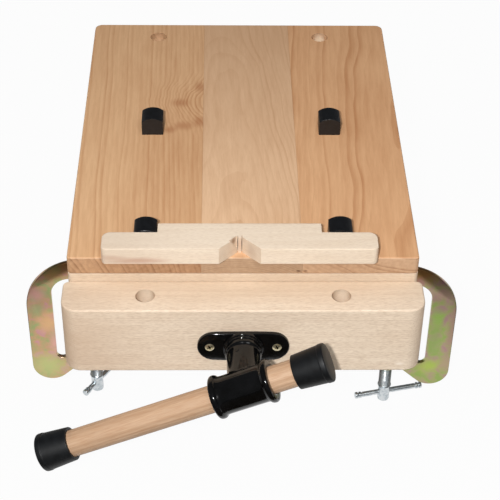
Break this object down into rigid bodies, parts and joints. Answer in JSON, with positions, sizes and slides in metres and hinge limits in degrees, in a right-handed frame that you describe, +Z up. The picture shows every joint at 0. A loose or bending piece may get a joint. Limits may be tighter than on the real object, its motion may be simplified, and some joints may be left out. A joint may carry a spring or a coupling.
{
  "type": "clamp-on woodworking bench",
  "caption": "Low beech bench top with a screw-driven front vise, lift-out dogs, a notched sawing board and G-clamps that hold it to a table.",
  "frame": {"origin": "middle of the fixed jaw's underside, the face that rests on the table", "axes": "+X to the right of a person at the vise, +Y away from that person, +Z up"},
  "size_m": [0.473, 0.5928, 0.2769],
  "materials": {
    "oiled_beech": "oiled, straight grained",
    "raw_beech": "planed and sanded, unfinished",
    "black_enamel": "gloss enamel over cast iron",
    "black_plastic": "moulded, satin",
    "black_rubber": "moulded, matt",
    "yellow_zinc": "yellow chromated zinc plate",
    "bright_steel": "turned, zinc plated",
    "cast_iron": "as cast"
  },
  "bodies": {
    "bench": {"left_stave": "oiled_beech", "middle_stave": "oiled_beech", "right_stave": "oiled_beech", "fixed_jaw": "raw_beech", "left_rail": "raw_beech", "right_rail": "raw_beech", "rear_rail": "raw_beech", "fixed_jaw_screw_1": "bright_steel", "fixed_jaw_screw_2": "bright_steel", "fixed_jaw_screw_3": "bright_steel", "left_rail_screw_1": "bright_steel", "left_rail_screw_2": "bright_steel", "right_rail_screw_1": "bright_steel", "right_rail_screw_2": "bright_steel", "rear_rail_screw_1": "bright_steel", "rear_rail_screw_2": "bright_steel", "rear_rail_screw_3": "bright_steel", "vise_nut": "cast_iron", "nut_screw_left": "bright_steel", "nut_screw_right": "bright_steel", "guide_bush_left": "black_plastic", "guide_bush_right": "black_plastic"},
    "vise_jaw": {"moving_jaw": "raw_beech", "collar_plate": "black_enamel", "plate_screw_left": "yellow_zinc", "plate_screw_right": "yellow_zinc", "guide_bar_left": "bright_steel", "guide_bar_right": "bright_steel", "guide_pin_left": "bright_steel", "guide_pin_right": "bright_steel", "guide_yoke": "bright_steel", "yoke_nut_left": "bright_steel", "yoke_nut_right": "bright_steel"},
    "vise_spindle": {"vise_screw": "bright_steel", "hub_pin": "bright_steel", "retaining_clip": "bright_steel", "vise_hub": "black_enamel"},
    "vise_handle": {"handle_bar": "oiled_beech", "handle_cap_left": "black_rubber", "handle_cap_right": "black_rubber"},
    "front_left_dog": {"bench_dog_front_left": "black_plastic"},
    "front_right_dog": {"bench_dog_front_right": "black_plastic"},
    "middle_left_dog": {"bench_dog_middle_left": "black_plastic"},
    "middle_right_dog": {"bench_dog_middle_right": "black_plastic"},
    "saw_board": {"sawing_board": "raw_beech"},
    "left_clamp": {"clamp_hook_left": "yellow_zinc", "clamp_boss_left": "yellow_zinc"},
    "left_pad": {"clamp_pad_left": "yellow_zinc"},
    "left_clamp_screw": {"clamp_screw_left": "bright_steel"},
    "left_tommy_bar": {"clamp_tommy_left": "bright_steel"},
    "right_clamp": {"clamp_hook_right": "yellow_zinc", "clamp_boss_right": "yellow_zinc"},
    "right_pad": {"clamp_pad_right": "yellow_zinc"},
    "right_clamp_screw": {"clamp_screw_right": "bright_steel"},
    "right_tommy_bar": {"clamp_tommy_right": "bright_steel"}
  },
  "joints": [
    {"name": "vise_screw_turn", "type": "hinge", "parent": "vise_jaw", "child": "vise_spindle", "pos_m": [0, -0.1328, 0.023], "axis": [0, -1, 0], "range_deg": [0, 7920]},
    {"name": "vise_jaw_slide", "type": "slide", "parent": "bench", "child": "vise_jaw", "axis": [0, -1, 0], "range_m": [0, 0.1101]},
    {"name": "vise_handle_slide", "type": "slide", "parent": "vise_spindle", "child": "vise_handle", "axis": [0.9135, 0, 0.4067], "range_m": [-0.024, 0.159]},
    {"name": "front_left_dog_lift", "type": "slide", "parent": "bench", "child": "front_left_dog", "axis": [0, 0, 1], "range_m": [0, 0.05]},
    {"name": "front_right_dog_lift", "type": "slide", "parent": "bench", "child": "front_right_dog", "axis": [0, 0, 1], "range_m": [0, 0.05]},
    {"name": "middle_left_dog_lift", "type": "slide", "parent": "bench", "child": "middle_left_dog", "axis": [0, 0, 1], "range_m": [0, 0.05]},
    {"name": "middle_right_dog_lift", "type": "slide", "parent": "bench", "child": "middle_right_dog", "axis": [0, 0, 1], "range_m": [0, 0.05]},
    {"name": "saw_board_lift", "type": "slide", "parent": "bench", "child": "saw_board", "axis": [0, 0, 1], "range_m": [0, 0.06]},
    {"name": "left_clamp_slide", "type": "slide", "parent": "bench", "child": "left_clamp", "axis": [-1, 0, 0], "range_m": [0, 0.06]},
    {"name": "left_pad_slide", "type": "slide", "parent": "left_clamp", "child": "left_pad", "axis": [0, 0, 1], "range_m": [-0.046, 0.0015]},
    {"name": "left_clamp_screw_turn", "type": "hinge", "parent": "left_pad", "child": "left_clamp_screw", "pos_m": [-0.165, 0.0425, -0.1], "axis": [0, 0, 1], "range_deg": [-8300, 290]},
    {"name": "left_tommy_slide", "type": "slide", "parent": "left_clamp_screw", "child": "left_tommy_bar", "axis": [0.5299, 0.848, 0], "range_m": [-0.044, 0.012]},
    {"name": "right_clamp_slide", "type": "slide", "parent": "bench", "child": "right_clamp", "axis": [1, 0, 0], "range_m": [0, 0.06]},
    {"name": "right_pad_slide", "type": "slide", "parent": "right_clamp", "child": "right_pad", "axis": [0, 0, 1], "range_m": [-0.039, 0.008]},
    {"name": "right_clamp_screw_turn", "type": "hinge", "parent": "right_pad", "child": "right_clamp_screw", "pos_m": [0.165, 0.0325, -0.1], "axis": [0, 0, 1], "range_deg": [-7040, 1460]},
    {"name": "right_tommy_slide", "type": "slide", "parent": "right_clamp_screw", "child": "right_tommy_bar", "axis": [0.9744, 0.225, 0], "range_m": [-0.033, 0.022]}
  ],
  "couplings": [
    {"joint": "vise_jaw_slide", "follows": "vise_screw_turn", "m_per_rad": 0.00079577},
    {"joint": "left_clamp_screw_turn", "follows": "left_pad_slide", "rad_per_m": 3141.6},
    {"joint": "right_clamp_screw_turn", "follows": "right_pad_slide", "rad_per_m": 3141.6}
  ]
}
